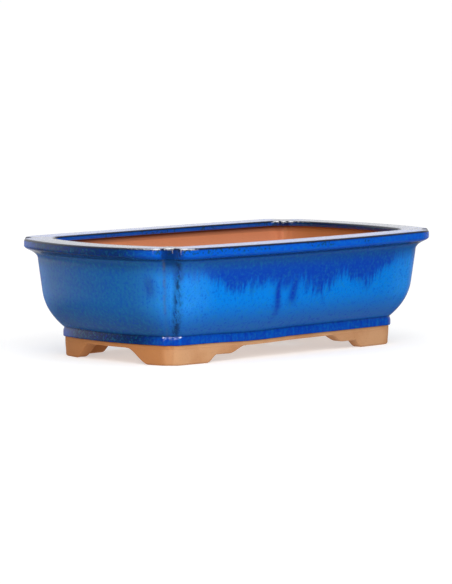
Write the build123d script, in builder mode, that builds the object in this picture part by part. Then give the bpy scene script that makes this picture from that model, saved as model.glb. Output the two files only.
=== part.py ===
"""Bonsai pot: a glazed clay rectangle with bowed sides and notched corners, on four bracket feet.

The pot is slab built. Four wall slabs meet at a mitre in the corner notches and stand on a
floor slab, whose moulded edge is the base band. Four rim strips are luted on top, mitred in the
same planes, and four angle feet are luted underneath. Plastic screens, each held by a bent
wire clip, keep the soil in over the two drain holes.

Millimetres, +Z up, X along the pot. The origin is under the pot's centre, on the ground.
"""

from build123d import *
from math import acos, asin, atan2, cos, pi, sin
import os

# ---- overall sizes, over the rim ----
overall_length = 305.0
overall_width = 178.0
overall_height = 84.0
side_bow = 5.0  # how far the long sides bow outwards
end_bow = 10.0  # how far the short ends bow outwards

# ---- corners ----
corner_radius = 32.0  # round of the corner at the rim
corner_radius_base = 14.0  # round of the corner at the base band
notch_radius = 7.0  # the hollow down the middle of each corner
notch_radius_base = 3.5
notch_stand_off = 1.0  # centre of the hollow, outside the corner's round
shoulder_radius = 6.0  # the round on each side of the hollow
shoulder_radius_base = 3.0

# ---- heights, from the ground ----
foot_height = 11.2
apron_height = 2.8  # bare clay edge under the base band
band_height = 6.5  # glazed base band
rim_height = 8.0  # rim strip, from its underside to the top
inner_lip_height = 4.0  # part of the rim strip that overhangs the inside

# ---- profile, as distances in from the rim's outer edge ----
neck_inset = 9.0  # the narrowest part under the rim
cove_height = 7.0  # hollow curve between the neck and the rim
cove_depth = 5.6
wall_slope = 0.13  # lean of the wall, per millimetre of height
belly_height = 27.0  # curved foot of the wall, above the base band
belly_depth = 11.0
belly_power = 2.3
wall_thickness = 7.5
rim_step_inside = 3.0  # rim strip's overhang past the inner wall face
rim_rounding = 1.8
band_proud = 0.8  # base band beyond the foot of the wall
band_rounding = 0.9
apron_inset = 1.4  # apron behind the band
foot_inset = 1.9  # feet behind the band

# ---- feet ----
foot_thickness = 9.5
foot_side_run = 72.0  # whole foot along the long side, from the corner
foot_side_sole = 36.0
foot_side_step = 45.0  # end of the first step
foot_side_shelf = 57.0
foot_end_run = 38.0  # whole foot along the short end, from the corner
foot_end_sole = 20.0
foot_shelf_height = 5.6

# ---- holes and fittings in the floor ----
drain_radius = 11.0
drain_spacing = 112.0
tie_hole_radius = 2.5
tie_spacing_x = 184.0
tie_spacing_y = 50.0
screen_size = 37.0
screen_thickness = 1.0
screen_pitch = 3.0
screen_hole = 1.9
screen_rows = 11
wire_radius = 0.6
wire_gap = 0.1  # wire clear of what it lies on
clip_leg = 6.0  # leg of a clip from the middle of the drain hole
clip_tail = 17.0  # end of the tail under the floor

# ---- worked out from the above ----
half_length = overall_length / 2 - end_bow
half_width = overall_width / 2 - side_bow
band_bottom = foot_height + apron_height
floor_top = band_bottom + band_height
rim_bottom = overall_height - rim_height
neck_height = rim_bottom - cove_height
wall_foot_inset = neck_inset + wall_slope * (neck_height - floor_top) + belly_depth
base_inset = wall_foot_inset - band_proud
apron_edge = base_inset + apron_inset
foot_edge = base_inset + foot_inset
rim_inner = neck_inset + wall_thickness + rim_step_inside
deepest_fade = 1.3  # corners shrink no further than this share of the way past the band
wall_levels = 6  # sections in the belly
cove_levels = 4  # sections in the cove
foot_corner_x = half_length - foot_edge
foot_corner_y = half_width - foot_edge
leg_top = floor_top + screen_thickness + wire_radius + wire_gap
leg_bottom = foot_height - wire_radius - wire_gap


def plain_face(height):
    """Inset of the wall's outer face at a height, without the cove under the rim."""
    inset = neck_inset + wall_slope * (neck_height - height)
    down = (floor_top + belly_height - height) / belly_height
    if down > 0:
        inset += belly_depth * down**belly_power
    return min(max(inset, neck_inset), wall_foot_inset)


def outer_face(height):
    """Inset of the wall's outer face at a height, with the cove that flares out to the rim."""
    up = (height - neck_height) / cove_height
    return plain_face(height) - (cove_depth * up**2.5 if up > 0 else 0)


def polar(center, radius, angle):
    """Point on a circle."""
    return center + Vector(radius * cos(angle), radius * sin(angle))


def arc(center, radius, start, end):
    """Arc between two angles about a centre, in the current line block."""
    middle = (start + end) / 2
    ThreePointArc(*(polar(center, radius, angle) for angle in (start, middle, end)))


def outline(height, inset):
    """Plan of the pot at an inset from the rim's edge: bowed sides, round notched corners."""
    fade = min(inset / base_inset, deepest_fade)
    length, width = half_length - inset, half_width - inset
    bows = end_bow * (1 - fade / 3), side_bow * (1 - fade / 3)
    round_radius = corner_radius + (corner_radius_base - corner_radius) * fade
    hollow = notch_radius + (notch_radius_base - notch_radius) * fade
    shoulder = shoulder_radius + (shoulder_radius_base - shoulder_radius) * fade
    hollow_at = round_radius + notch_stand_off * (1 + fade)
    corner = Vector(length - round_radius, width - round_radius)
    notch = polar(corner, hollow_at, pi / 4)
    reach = round_radius - shoulder
    half_notch = acos(
        (reach**2 + hollow_at**2 - (hollow + shoulder) ** 2) / (2 * reach * hollow_at)
    )
    end_radius = round_radius + (corner.Y**2 + bows[0] ** 2) / (2 * bows[0])
    side_radius = round_radius + (corner.X**2 + bows[1] ** 2) / (2 * bows[1])
    end_turn = asin(corner.Y / (end_radius - round_radius))
    side_turn = pi / 2 - asin(corner.X / (side_radius - round_radius))
    first, last = pi / 4 - half_notch, pi / 4 + half_notch
    lobes = polar(corner, reach, first), polar(corner, reach, last)
    to_notch = [atan2(notch.Y - lobe.Y, notch.X - lobe.X) for lobe in lobes]
    with BuildSketch(Plane.XY.offset(height)) as plan:
        with BuildLine():
            arc(Vector(length + bows[0] - end_radius, 0), end_radius, 0, end_turn)
            arc(corner, round_radius, end_turn, first)
            arc(lobes[0], shoulder, first, to_notch[0])
            arc(notch, hollow, to_notch[0] + pi, to_notch[1] + pi)
            arc(lobes[1], shoulder, to_notch[1], last)
            arc(corner, round_radius, last, side_turn)
            arc(Vector(0, width + bows[1] - side_radius), side_radius, side_turn, pi / 2)
            mirror(about=Plane.XZ)
            mirror(about=Plane.YZ)
        make_face()
    return plan.sketch


def spaced(low, high, count):
    """Evenly spaced heights from low to high, both included."""
    return [low + (high - low) * step / count for step in range(count + 1)]


def stack(sections, mode=Mode.ADD):
    """Loft of outlines given as (height, inset), from the lowest to the highest."""
    loft([outline(*section).face() for section in sections], ruled=True, mode=mode)


def keep_side():
    """Trim the current part to the front side, between the two front mitres."""
    reach = overall_width
    with BuildSketch() as sector:
        Polygon(
            (half_width - half_length, 0),
            (half_width - half_length - reach, -reach),
            (half_length - half_width + reach, -reach),
            (half_length - half_width, 0),
            align=None,
        )
    extrude(sector.sketch, amount=overall_height, mode=Mode.INTERSECT)


def keep_end():
    """Trim the current part to the right-hand end, between the two right-hand mitres."""
    reach = overall_width
    tip = half_length - half_width
    with BuildSketch() as sector:
        Polygon((tip, 0), (tip + reach, -reach), (tip + reach, reach), align=None)
    extrude(sector.sketch, amount=overall_height, mode=Mode.INTERSECT)


# ---- the walls, as one ring that is then cut at the mitres ----
belly_top = floor_top + belly_height
belly_sections = spaced(floor_top, belly_top, wall_levels)
outer_levels = belly_sections + spaced(neck_height, rim_bottom, cove_levels)
inner_levels = belly_sections + [rim_bottom]

with BuildPart() as wall_ring:
    stack([(height, outer_face(height)) for height in outer_levels])
    inner = [(height, plain_face(height) + wall_thickness) for height in inner_levels]
    stack(inner, mode=Mode.SUBTRACT)

with BuildPart() as wall_front:
    add(wall_ring.part)
    keep_side()

with BuildPart() as wall_rear:
    mirror(wall_front.part, about=Plane.XZ)

with BuildPart() as wall_right:
    add(wall_ring.part)
    keep_end()

with BuildPart() as wall_left:
    mirror(wall_right.part, about=Plane.YZ)

# ---- the rim strips: round outer edge, level top, and a lip that overhangs the inside ----
rim_outer = [
    (rim_bottom, outer_face(rim_bottom)),
    (rim_bottom + rim_rounding / 2, rim_rounding / 2),
    (rim_bottom + rim_rounding * 1.5, 0),
    (overall_height - rim_rounding, 0),
    (overall_height - rim_rounding / 3, rim_rounding / 3),
    (overall_height, rim_rounding),
]
lip_bottom = overall_height - inner_lip_height
wall_inner = rim_inner - rim_step_inside
lip_hole = [
    (lip_bottom, rim_inner),
    (overall_height - rim_rounding, rim_inner),
    (overall_height, rim_inner - rim_rounding),
]

with BuildPart() as rim_ring:
    stack(rim_outer)
    stack([(rim_bottom, wall_inner), (lip_bottom, wall_inner)], mode=Mode.SUBTRACT)
    stack(lip_hole, mode=Mode.SUBTRACT)

with BuildPart() as rim_front:
    add(rim_ring.part)
    keep_side()

with BuildPart() as rim_rear:
    mirror(rim_front.part, about=Plane.XZ)

with BuildPart() as rim_right:
    add(rim_ring.part)
    keep_end()

with BuildPart() as rim_left:
    mirror(rim_right.part, about=Plane.YZ)

# ---- the floor slab: bare clay apron below, moulded band above, drain and wire holes ----
with BuildPart() as floor_slab:
    stack([(foot_height, apron_edge), (band_bottom, apron_edge)])
    stack(
        [
            (band_bottom, base_inset + band_rounding),
            (band_bottom + band_rounding, base_inset),
            (floor_top - band_rounding, base_inset),
            (floor_top, base_inset + band_proud),
        ]
    )
    with BuildSketch(Plane.XY.offset(foot_height)):
        with GridLocations(drain_spacing, 0, 2, 1):
            Circle(drain_radius)
        with GridLocations(tie_spacing_x, tie_spacing_y, 2, 2):
            Circle(tie_hole_radius)
    extrude(amount=floor_top - foot_height, mode=Mode.SUBTRACT)

# ---- the feet: angle brackets with a stepped scallop under each wing ----
with BuildPart() as foot_rear_right:
    stack([(0, foot_edge), (foot_height, foot_edge)])
    stack([(0, foot_edge + foot_thickness), (foot_height, foot_edge + foot_thickness)], Mode.SUBTRACT)
    with BuildSketch():
        with Locations((foot_corner_x - foot_side_run, foot_corner_y - foot_end_run)):
            Rectangle(overall_length, overall_width, align=(Align.MIN, Align.MIN))
    extrude(amount=foot_height, mode=Mode.INTERSECT)
    with BuildSketch(Plane.XZ):
        with BuildLine():
            step = Spline(
                (foot_corner_x - foot_side_sole, 0),
                (foot_corner_x - foot_side_step, foot_shelf_height),
                tangents=((-1, 0), (-1, 0)),
            )
            shelf = Line(step @ 1, (foot_corner_x - foot_side_shelf, foot_shelf_height))
            rise = Spline(
                shelf @ 1,
                (foot_corner_x - foot_side_run, foot_height),
                tangents=((-1, 0), (-1, 0)),
            )
            Polyline(rise @ 1, (foot_corner_x - foot_side_run, 0), step @ 0)
        make_face()
    extrude(amount=-overall_width, mode=Mode.SUBTRACT)
    with BuildSketch(Plane.YZ):
        with BuildLine():
            slope = Spline(
                (foot_corner_y - foot_end_sole, 0),
                (foot_corner_y - foot_end_run, foot_height),
                tangents=((-1, 0), (-1, 0)),
            )
            Polyline(slope @ 1, (foot_corner_y - foot_end_run, 0), slope @ 0)
        make_face()
    extrude(amount=overall_length, mode=Mode.SUBTRACT)

with BuildPart() as foot_rear_left:
    mirror(foot_rear_right.part, about=Plane.YZ)

with BuildPart() as foot_front_right:
    mirror(foot_rear_right.part, about=Plane.XZ)

with BuildPart() as foot_front_left:
    mirror(foot_front_right.part, about=Plane.YZ)

# ---- a screen over each drain hole, and the bent wire clip that holds it down ----
with BuildPart() as screen_right:
    with BuildSketch(Plane.XY.offset(floor_top)):
        with Locations((drain_spacing / 2, 0)):
            Rectangle(screen_size, screen_size)
            with GridLocations(screen_pitch, screen_pitch, screen_rows, screen_rows):
                Rectangle(screen_hole, screen_hole, mode=Mode.SUBTRACT)
    extrude(amount=screen_thickness)

with BuildPart() as screen_left:
    mirror(screen_right.part, about=Plane.YZ)

with BuildPart() as clip_right:
    with BuildLine(Plane.XZ.shift_origin((drain_spacing / 2, 0, 0))) as wire:
        FilletPolyline(
            (-clip_tail, leg_bottom),
            (-clip_leg, leg_bottom),
            (-clip_leg, leg_top),
            (clip_leg, leg_top),
            (clip_leg, leg_bottom),
            (clip_tail, leg_bottom),
            radius=2 * wire_radius,
        )
    with BuildSketch(Plane(wire.line @ 0, z_dir=wire.line % 0)):
        Circle(wire_radius)
    sweep(path=wire.line)

with BuildPart() as clip_left:
    mirror(clip_right.part, about=Plane.YZ)

pieces = {
    "wall_front": wall_front,
    "wall_rear": wall_rear,
    "wall_right": wall_right,
    "wall_left": wall_left,
    "rim_front": rim_front,
    "rim_rear": rim_rear,
    "rim_right": rim_right,
    "rim_left": rim_left,
    "floor_slab": floor_slab,
    "foot_front_left": foot_front_left,
    "foot_front_right": foot_front_right,
    "foot_rear_left": foot_rear_left,
    "foot_rear_right": foot_rear_right,
    "screen_left": screen_left,
    "screen_right": screen_right,
    "clip_left": clip_left,
    "clip_right": clip_right,
}
os.makedirs("parts", exist_ok=True)
for name, piece in pieces.items():
    piece.part.label = name
    export_step(piece.part, f"parts/{name}.step")
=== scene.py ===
"""Bonsai pot: glazed walls, rim and base band, bare clay inside and underneath, and its fittings.

Each clay piece is swept along the pot's plan, a bowed rectangle with a hollow notch down every
corner, so the pieces meet at the mitres in the notches. Metres, +Z up, X along the pot.
"""

from math import acos, asin, atan2, cos, pi, radians, sin

import bmesh
import bpy
import numpy as np
from bpy.props import FloatProperty, FloatVectorProperty, IntProperty, PointerProperty
from mathutils import Matrix, Vector


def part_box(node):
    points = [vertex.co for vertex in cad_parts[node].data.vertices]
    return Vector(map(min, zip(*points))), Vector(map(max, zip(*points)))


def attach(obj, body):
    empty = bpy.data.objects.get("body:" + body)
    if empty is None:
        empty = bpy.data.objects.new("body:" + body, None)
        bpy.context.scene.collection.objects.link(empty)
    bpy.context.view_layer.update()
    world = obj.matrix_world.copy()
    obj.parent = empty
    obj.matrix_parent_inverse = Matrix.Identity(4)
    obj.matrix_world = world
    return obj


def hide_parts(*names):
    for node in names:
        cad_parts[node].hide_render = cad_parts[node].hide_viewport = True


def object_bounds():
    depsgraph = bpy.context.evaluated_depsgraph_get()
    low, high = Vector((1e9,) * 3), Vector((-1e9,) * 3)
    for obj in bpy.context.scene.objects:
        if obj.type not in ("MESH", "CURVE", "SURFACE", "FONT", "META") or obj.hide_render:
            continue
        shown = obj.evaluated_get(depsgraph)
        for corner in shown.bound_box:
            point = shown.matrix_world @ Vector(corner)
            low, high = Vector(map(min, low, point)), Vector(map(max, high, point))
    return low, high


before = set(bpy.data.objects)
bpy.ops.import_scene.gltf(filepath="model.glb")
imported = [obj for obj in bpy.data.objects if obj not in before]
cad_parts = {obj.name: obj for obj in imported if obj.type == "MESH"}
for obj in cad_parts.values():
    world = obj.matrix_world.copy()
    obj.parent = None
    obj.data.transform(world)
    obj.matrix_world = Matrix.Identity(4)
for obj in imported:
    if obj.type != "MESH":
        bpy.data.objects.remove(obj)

bl_info = {
    "name": "Bonsai Pot",
    "version": (1, 0, 0),
    "blender": (4, 5, 0),
    "location": "View3D > Sidebar > Bonsai Pot",
    "description": "Builds a blue glazed bonsai pot on four bracket feet",
    "category": "Object",
}

MM = 0.001
CAD_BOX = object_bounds()
REACH_X, REACH_Y, TOP = CAD_BOX[1]
FOOT_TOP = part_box("floor_slab")[0].z
FLOOR_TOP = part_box("wall_front")[0].z
RIM_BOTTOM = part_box("rim_front")[0].z
LIP_BOTTOM = TOP - 4 * MM


def linear(code):
    """Linear RGBA of an sRGB hex colour."""
    parts = [int(code[at : at + 2], 16) / 255 for at in (1, 3, 5)]
    return [p / 12.92 if p <= 0.04045 else ((p + 0.055) / 1.055) ** 2.4 for p in parts] + [1.0]


def length_of(name, description, default):
    """A length property in metres."""
    return FloatProperty(name=name, description=description, default=default, unit="LENGTH")


def colour_of(name, description, code):
    """A colour property, from an sRGB hex colour."""
    return FloatVectorProperty(
        name=name, description=description, default=linear(code), size=4, subtype="COLOR", min=0, max=1
    )


class PotPlan(bpy.types.PropertyGroup):
    """Plan of the pot, seen from above."""

    end_bow: length_of("End bow", "How far the short ends bow outwards", 10 * MM)
    side_bow: length_of("Side bow", "How far the long sides bow outwards", 5 * MM)
    corner_rim: length_of("Corner at rim", "Round of the corners at the rim", 32 * MM)
    corner_base: length_of("Corner at base", "Round of the corners at the base band", 14 * MM)
    notch_rim: length_of("Notch at rim", "Radius of the hollow in each corner, at the rim", 7 * MM)
    notch_base: length_of("Notch at base", "Radius of the hollow in each corner, at the base", 3.5 * MM)
    stand_off: length_of("Notch stand-off", "Centre of the hollow beyond the corner's round", 1 * MM)
    shoulder_rim: length_of("Shoulder at rim", "Round beside the hollow, at the rim", 6 * MM)
    shoulder_base: length_of("Shoulder at base", "Round beside the hollow, at the base", 3 * MM)


class PotProfile(bpy.types.PropertyGroup):
    """Profile of the walls, rim and base band, as distances in from the rim's outer edge."""

    neck_inset: length_of("Neck", "Narrowest part under the rim", 9 * MM)
    cove_height: length_of("Cove height", "Hollow curve between the neck and the rim", 7 * MM)
    cove_depth: length_of("Cove depth", "How far the cove flares out", 5.6 * MM)
    belly_height: length_of("Belly height", "Curved foot of the wall", 27 * MM)
    belly_depth: length_of("Belly depth", "How far the wall tucks in at its foot", 11 * MM)
    wall: length_of("Wall", "Thickness of the wall slabs", 7.5 * MM)
    lip: length_of("Lip", "Overhang of the rim past the inner wall face", 3 * MM)
    rim_round: length_of("Rim round", "Rounding of the rim's two top edges", 1.7 * MM)
    band_proud: length_of("Band", "Base band beyond the foot of the wall", 0.8 * MM)
    band_round: length_of("Band round", "Rounding of the base band", 1.1 * MM)
    apron_height: length_of("Apron height", "Bare clay edge under the base band", 2.8 * MM)
    apron_inset: length_of("Apron inset", "Bare clay edge behind the band", 1.4 * MM)
    slope: FloatProperty(name="Slope", description="Lean of the wall per unit of height", default=0.13)
    power: FloatProperty(name="Belly power", description="How late the belly turns in", default=2.3)


class PotFeet(bpy.types.PropertyGroup):
    """Bracket feet with a stepped scallop under each wing."""

    thickness: length_of("Thickness", "Thickness of a foot", 9.5 * MM)
    behind: length_of("Behind band", "Feet behind the base band", 1.9 * MM)
    side_run: length_of("Side run", "Wing along the long side", 72 * MM)
    side_sole: length_of("Side sole", "Sole along the long side", 36 * MM)
    side_step: length_of("Side step", "End of the first step", 45 * MM)
    side_shelf: length_of("Side shelf", "End of the shelf", 57 * MM)
    end_run: length_of("End run", "Wing along the short end", 38 * MM)
    end_sole: length_of("End sole", "Sole along the short end", 20 * MM)
    shelf_height: length_of("Shelf height", "Height of the shelf", 5.6 * MM)
    sole_round: length_of("Sole round", "Rounding round the sole", 1.7 * MM)


class PotFittings(bpy.types.PropertyGroup):
    """Holes in the floor, drain screens and the clips that hold them."""

    drain_radius: length_of("Drain", "Radius of the drain holes", 11 * MM)
    drain_spacing: length_of("Drain spacing", "Between the two drain holes", 112 * MM)
    tie_radius: length_of("Tie hole", "Radius of the wire holes", 2.5 * MM)
    tie_x: length_of("Tie spacing X", "Between the wire holes, along the pot", 184 * MM)
    tie_y: length_of("Tie spacing Y", "Between the wire holes, across the pot", 50 * MM)
    strand: length_of("Strand", "Thickness of the screen's strands", 1.0 * MM)
    pitch: length_of("Pitch", "Spacing of the screen's strands", 3.0 * MM)
    strands: IntProperty(name="Strands", description="Strands each way", default=12)
    wire_radius: length_of("Wire", "Radius of the clip wire", 0.6 * MM)
    clip_leg: length_of("Clip leg", "Leg of a clip from the middle of the hole", 6 * MM)
    clip_tail: length_of("Clip tail", "End of the clip's tail under the floor", 17 * MM)


class PotColours(bpy.types.PropertyGroup):
    """Colours of the glaze, the clay and the fittings."""

    bright: colour_of("Bright", "Glaze at its brightest, where it is of middling thickness", "#0274D0")
    # Partly a painted highlight: the shoulders beside the notches are painted paler.
    pale: colour_of("Pale", "Thin wall glaze beside the notches", "#3F96E0")
    deep: colour_of("Deep", "Glaze where it runs thick from the rim", "#0A349E")
    # Partly painted shade: the grey below the rim is darkened for the shade under its overhang.
    grey: colour_of("Grey", "Glaze where it is thin over the clay", "#1B5088")
    # Painted shade: the short ends' glaze is painted greyer and darker for the end away from the light.
    slate: colour_of("Slate", "Glaze on the short ends, where it is thinner", "#1C4066")
    dull: colour_of("Dull", "Glaze low on the walls, where it is less bright", "#1F5CA8")
    teal: colour_of("Teal", "Fine teal mottling", "#176A92")
    navy: colour_of("Navy", "Glaze gathered in a corner", "#04163C")
    # Also painted shade: the dark line down the notches' lips on the long sides.
    line: colour_of("Edge", "Glaze drawn thin over an edge", "#121B30")
    brown: colour_of("Break", "Clay showing brown through a broken edge", "#54504A")
    rim: colour_of("Rim", "Glaze on the rim's outer face", "#0453BE")
    # Painted shade: the rim and the base band are painted darker on the short ends.
    rim_end_shade: colour_of("Rim end", "Glaze on the rim of the short ends, which is darker", "#091C3A")
    band: colour_of("Band", "Glaze on the base band", "#06359C")
    clay: colour_of("Clay", "Bare fired clay", "#BC8C62")
    clay_dark: colour_of("Dark clay", "Toasted patches on the bare clay", "#A56A38")
    clay_inside: colour_of("Inside", "Bare clay inside, flushed by the kiln", "#CC8258")
    # Partly painted shadow: the dark red line on the clay just under the rim's lip.
    clay_flash_and_shade: colour_of("Flash line", "Clay burnt dark red where the glaze of the lip ends", "#431810")
    clay_speck: colour_of("Specks", "Iron specks in the bare clay", "#7A4A28")
    # Painted shade: the bare clay on the short ends is painted darker and more orange.
    clay_end_shade: colour_of("Toasted ends", "Bare clay on the short ends, toasted by the flame", "#A5652C")


# ---- plan and profile ----


def arc(center, radius, start, end, steps):
    """Points along an arc, without its last one."""
    turn = np.linspace(start, end, steps, endpoint=False)
    return np.column_stack([center[0] + radius * np.cos(turn), center[1] + radius * np.sin(turn)])


STEPS = {"end": 60, "round": 14, "shoulder": 8, "hollow": 18, "side": 110}
VALLEY = STEPS["end"] + STEPS["round"] + STEPS["shoulder"] + STEPS["hollow"] // 2
DEEPEST_FADE = 1.3


def quarter(inset, side_from=0.0, end_from=0.0):
    """Outline at an inset, from the right end's middle round to the rear side's middle.

    side_from and end_from are the x and the y where the bowed stretches stop instead.
    """
    plan = bpy.context.scene.pot_plan
    half_length, half_width = REACH_X - plan.end_bow, REACH_Y - plan.side_bow
    fade = min(inset / base_inset(), DEEPEST_FADE)
    length, width = half_length - inset, half_width - inset
    bows = plan.end_bow * (1 - fade / 3), plan.side_bow * (1 - fade / 3)
    rounding = plan.corner_rim + (plan.corner_base - plan.corner_rim) * fade
    hollow = plan.notch_rim + (plan.notch_base - plan.notch_rim) * fade
    shoulder = plan.shoulder_rim + (plan.shoulder_base - plan.shoulder_rim) * fade
    hollow_at = rounding + plan.stand_off * (1 + fade)
    corner = np.array([length - rounding, width - rounding])
    notch = corner + hollow_at * np.array([cos(pi / 4), sin(pi / 4)])
    reach = rounding - shoulder
    half_notch = acos((reach**2 + hollow_at**2 - (hollow + shoulder) ** 2) / (2 * reach * hollow_at))
    end_radius = rounding + (corner[1] ** 2 + bows[0] ** 2) / (2 * bows[0])
    side_radius = rounding + (corner[0] ** 2 + bows[1] ** 2) / (2 * bows[1])
    end_turn = asin(corner[1] / (end_radius - rounding))
    side_turn = pi / 2 - asin(corner[0] / (side_radius - rounding))
    first, last = pi / 4 - half_notch, pi / 4 + half_notch
    lobes = [corner + reach * np.array([cos(turn), sin(turn)]) for turn in (first, last)]
    to_notch = [atan2(notch[1] - lobe[1], notch[0] - lobe[0]) for lobe in lobes]
    end_center, side_center = (length + bows[0] - end_radius, 0), (0, width + bows[1] - side_radius)
    side_stop = acos(side_from / side_radius)
    return np.vstack([
        arc(end_center, end_radius, asin(end_from / end_radius), end_turn, STEPS["end"]),
        arc(corner, rounding, end_turn, first, STEPS["round"]),
        arc(lobes[0], shoulder, first, to_notch[0], STEPS["shoulder"]),
        arc(notch, hollow, to_notch[0] + pi, to_notch[1] + pi, STEPS["hollow"]),
        arc(lobes[1], shoulder, to_notch[1], last, STEPS["shoulder"]),
        arc(corner, rounding, last, side_turn, STEPS["round"]),
        arc(side_center, side_radius, side_turn, side_stop, STEPS["side"]),
        arc(side_center, side_radius, side_stop, side_stop, 1),
    ])


def run(part, inset):
    """Outline of one side of the pot, from mitre to mitre, anticlockwise seen from above."""
    points = quarter(inset)
    if part in ("right", "left"):
        end = points[: VALLEY + 1]
        side = np.vstack([end[:0:-1] * [1, -1], end])
    else:
        half = points[VALLEY:]
        side = np.vstack([half, half[-2::-1] * [-1, 1]])
    return side if part in ("right", "rear") else -side


def whole(inset):
    """The pot's whole outline at an inset, closed, anticlockwise."""
    return np.vstack([run(part, inset)[:-1] for part in ("right", "rear", "left", "front")])


def wall_foot_inset():
    """Inset of the wall's outer face at the floor."""
    profile = bpy.context.scene.pot_profile
    neck_height = RIM_BOTTOM - profile.cove_height
    return profile.neck_inset + profile.slope * (neck_height - FLOOR_TOP) + profile.belly_depth


def base_inset():
    """Inset of the base band's face."""
    return wall_foot_inset() - bpy.context.scene.pot_profile.band_proud


def plain_face(height):
    """Inset of the wall's outer face at a height, without the cove under the rim."""
    profile = bpy.context.scene.pot_profile
    inset = profile.neck_inset + profile.slope * (RIM_BOTTOM - profile.cove_height - height)
    down = (FLOOR_TOP + profile.belly_height - height) / profile.belly_height
    if down > 0:
        inset += profile.belly_depth * down**profile.power
    return min(max(inset, profile.neck_inset), wall_foot_inset())


def outer_face(height):
    """Inset of the wall's outer face at a height, with the cove that flares out to the rim."""
    profile = bpy.context.scene.pot_profile
    up = (height - RIM_BOTTOM + profile.cove_height) / profile.cove_height
    return plain_face(height) - (profile.cove_depth * up**2.5 if up > 0 else 0)


def corner_round(center, radius, start, end, steps):
    """Profile points round an edge, as (height, inset); the angle runs from inwards to up."""
    turns = [start + (end - start) * step / steps for step in range(steps + 1)]
    return [(center[0] + radius * sin(turn), center[1] + radius * cos(turn)) for turn in turns]


def smooth(low, high, value):
    """Smooth step from 0 at low to 1 at high."""
    share = np.clip((value - low) / (high - low), 0, 1)
    return share * share * (3 - 2 * share)


# ---- marks of the hand and of the kiln ----

WAVER = 0.0022  # share of the plan that the walls waver inwards
RIM_SAG = 0.7 * MM  # the rim sinks between the corners
BASE_SAG = 0.9 * MM  # the front of the floor sinks here
BASE_SAG_AT = -36 * MM
BASE_SAG_RUN = 30 * MM


def hand_made(points):
    """Small unevenness of a hand-built pot: wavering walls, a sagging rim and floor."""
    x, y, z = points[:, 0], points[:, 1], points[:, 2]
    waves = (
        np.sin(x * 61 + z * 23 + 1.3)
        + np.sin(y * 83 - z * 31 + 0.4)
        + np.sin(x * 127 + y * 149 + z * 90 + 2.1) / 2
        + np.sin(x * 290 - y * 270 + z * 160 + 0.7) / 4
    )
    shrink = 1 - WAVER * (0.5 + waves / 5.5)
    across, along = np.clip(np.abs(y) / REACH_Y, 0, 1), np.clip(np.abs(x) / REACH_X, 0, 1)
    middle = (1 - along**2) * across**2 + (1 - across**2) * along**2
    low = RIM_SAG * middle * (z / TOP) ** 2
    bump = np.exp(-(((x - BASE_SAG_AT) / BASE_SAG_RUN) ** 2)) * smooth(0, 0.5 * REACH_Y, -y)
    low += BASE_SAG * bump * smooth(0, FOOT_TOP, z) * (1 - smooth(FLOOR_TOP, 2 * FLOOR_TOP, z))
    return np.column_stack([x * shrink, y * shrink, z - low])


# Drips of deep glaze on the long sides: y side, x, half width, lowest end and strength.
DRIPS = (
    (-1, -27 * MM, 3.1 * MM, 27 * MM, 1.0),
    (-1, -12 * MM, 4.4 * MM, 39 * MM, 0.95),
    (-1, -20 * MM, 9.0 * MM, 50 * MM, 0.9),
    (-1, 62 * MM, 3.0 * MM, 46 * MM, 0.5),
    (1, 34 * MM, 3.0 * MM, 33 * MM, 0.8),
    (1, -58 * MM, 3.6 * MM, 42 * MM, 0.7),
)
DRIP_TOP = 60 * MM
# Patches of deep glaze beside the notches of the short ends: x side, y, half width, lowest end, strength.
END_DRIPS = (
    (-1, -53 * MM, 4.2 * MM, 50 * MM, 1.0),
    (-1, 60 * MM, 3.5 * MM, 50 * MM, 0.8),
    (1, 52 * MM, 4.0 * MM, 44 * MM, 0.9),
)


def drips(points):
    """How much of a drip covers each point."""
    x, y, z = points.T
    total = np.zeros(len(points))
    for side, at, half_width, end, strength in DRIPS:
        wander = 1.2 * MM * np.sin(z * 210 + at * 900)
        across = np.exp(-(((x - at - wander) / half_width) ** 2))
        total = np.maximum(total, strength * across * smooth(end - 5 * MM, end + 5 * MM, z) * (y * side > 0))
    for side, at, half_width, end, strength in END_DRIPS:
        across = np.exp(-(((y - at) / half_width) ** 2)) * (x * side > 0.7 * REACH_X)
        total = np.maximum(total, strength * across * smooth(end - 5 * MM, end + 5 * MM, z))
    return total * (1 - smooth(DRIP_TOP, DRIP_TOP + 8 * MM, z))


# ---- meshes ----


def finish_mesh(mesh, sharp_angle=38):
    """Point the faces outwards and shade them smooth, with sharp edges by angle."""
    shell = bmesh.new()
    shell.from_mesh(mesh)
    bmesh.ops.recalc_face_normals(shell, faces=shell.faces)
    shell.to_mesh(mesh)
    shell.free()
    mesh.shade_smooth()
    mesh.set_sharp_from_angle(angle=radians(sharp_angle))


def worked_mesh(holder):
    """The mesh that a helper object's curve or modifier makes; the helper is removed."""
    depsgraph = bpy.context.evaluated_depsgraph_get()
    mesh = bpy.data.meshes.new_from_object(holder.evaluated_get(depsgraph))
    bpy.data.objects.remove(holder)
    return mesh


def new_piece(name, mesh, slot, *nodes):
    """Put a mesh in the scene as a piece of the pot that stands for CAD nodes."""
    piece = bpy.data.objects.new(name, mesh)
    bpy.context.scene.collection.objects.link(piece)
    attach(piece, "root")
    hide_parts(*nodes)
    return piece


def set_marks(mesh, **marks):
    """Store one number a vertex under each name."""
    for name, values in marks.items():
        attribute = mesh.attributes.new(name, "FLOAT", "POINT")
        attribute.data.foreach_set("value", np.asarray(values, np.float32))


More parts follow.
